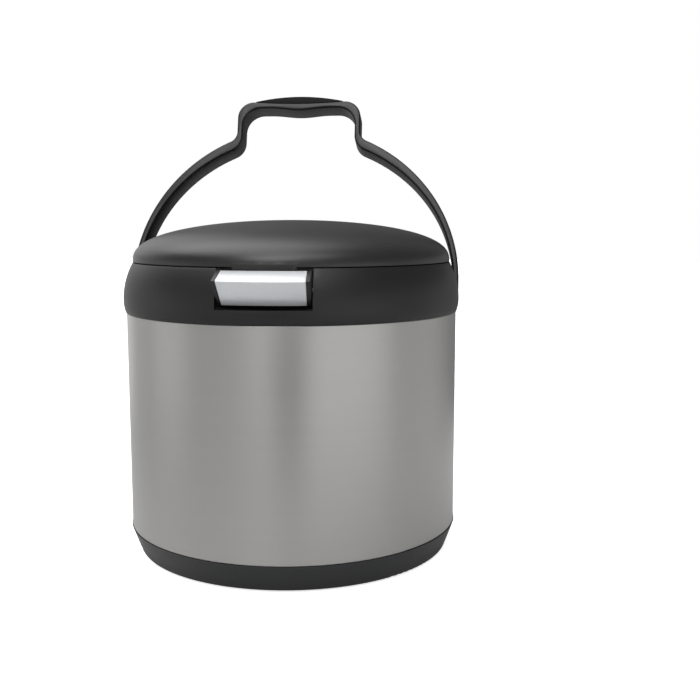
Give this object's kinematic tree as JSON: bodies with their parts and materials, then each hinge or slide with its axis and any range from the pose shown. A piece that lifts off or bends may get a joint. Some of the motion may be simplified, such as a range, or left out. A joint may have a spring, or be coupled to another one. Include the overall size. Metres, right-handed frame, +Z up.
{
  "type": "thermal cooker",
  "caption": "Vacuum-insulated steel pot carrier with a domed hinged lid, push latch, swinging bail handle with a crowned grip, collar, base cover and a lidded inner pot.",
  "frame": {"origin": "on the vessel's axis, in the plane of the base pad's underside", "axes": "+Z up, -Y towards the latch, +Y towards the lid hinge, X through the handle's two pivots"},
  "size_m": [0.2644, 0.2785, 0.3603],
  "materials": {
    "base_rubber": "matt black rubber",
    "base_plastic": "satin black moulding",
    "screw_steel": "bright zinc plate",
    "brushed_shell": "upright satin brushing",
    "satin_steel": "satin",
    "getter_metal": "sintered",
    "charcoal_plastic": "satin charcoal moulding",
    "lid_plastic": "satin charcoal moulding",
    "black_plastic": "fine matt black",
    "seal_silicone": "soft translucent grey",
    "foam": "rigid foam",
    "silver_plastic": "satin silver coat",
    "spring_steel": "drawn wire",
    "handle_plastic": "satin charcoal moulding",
    "grip_rubber": "soft black overmould",
    "pot_steel": "satin"
  },
  "bodies": {
    "vessel": {"base_pad": "base_rubber", "base_cover": "base_plastic", "base_screws": "screw_steel", "base_standoffs": "screw_steel", "outer_shell": "brushed_shell", "outer_bottom": "satin_steel", "vacuum_seal_cap": "satin_steel", "inner_liner": "satin_steel", "getter": "getter_metal", "collar": "charcoal_plastic", "mouth_ring": "black_plastic", "hinge_pin": "screw_steel", "latch_pin": "screw_steel", "latch_spring": "spring_steel", "pivot_screws": "screw_steel", "pivot_nuts": "screw_steel", "inner_pot": "pot_steel", "pot_base_disc": "pot_steel", "pot_ears": "pot_steel", "pot_rivets": "screw_steel", "pot_bail": "pot_steel", "pot_lid": "pot_steel", "pot_lid_knob": "black_plastic", "pot_lid_screw": "screw_steel"},
    "lid": {"lid_cover": "lid_plastic", "lid_pan": "black_plastic", "lid_screws": "screw_steel", "lid_seal": "seal_silicone", "lid_insulation": "foam", "lid_catch": "satin_steel", "lid_catch_screws": "screw_steel"},
    "latch": {"latch_lever": "black_plastic", "latch_button": "silver_plastic"},
    "handle": {"handle_bail": "handle_plastic", "grip_pad": "grip_rubber", "pivot_bushes": "black_plastic"}
  },
  "joints": [
    {"name": "lid_hinge", "type": "hinge", "parent": "vessel", "child": "lid", "pos_m": [0, 0.1315, 0.2256], "axis": [-1, 0, 0], "range_deg": [0, 2]},
    {"name": "latch_press", "type": "hinge", "parent": "vessel", "child": "latch", "pos_m": [0, -0.1223, 0.213], "axis": [1, 0, 0], "range_deg": [0, 6], "stiffness_Nm_per_rad": 0.4, "springref_deg": -3.44},
    {"name": "handle_swing", "type": "hinge", "parent": "vessel", "child": "handle", "pos_m": [0, 0.011, 0.21], "axis": [1, 0, 0], "range_deg": [-62.5, 15.5]}
  ]
}
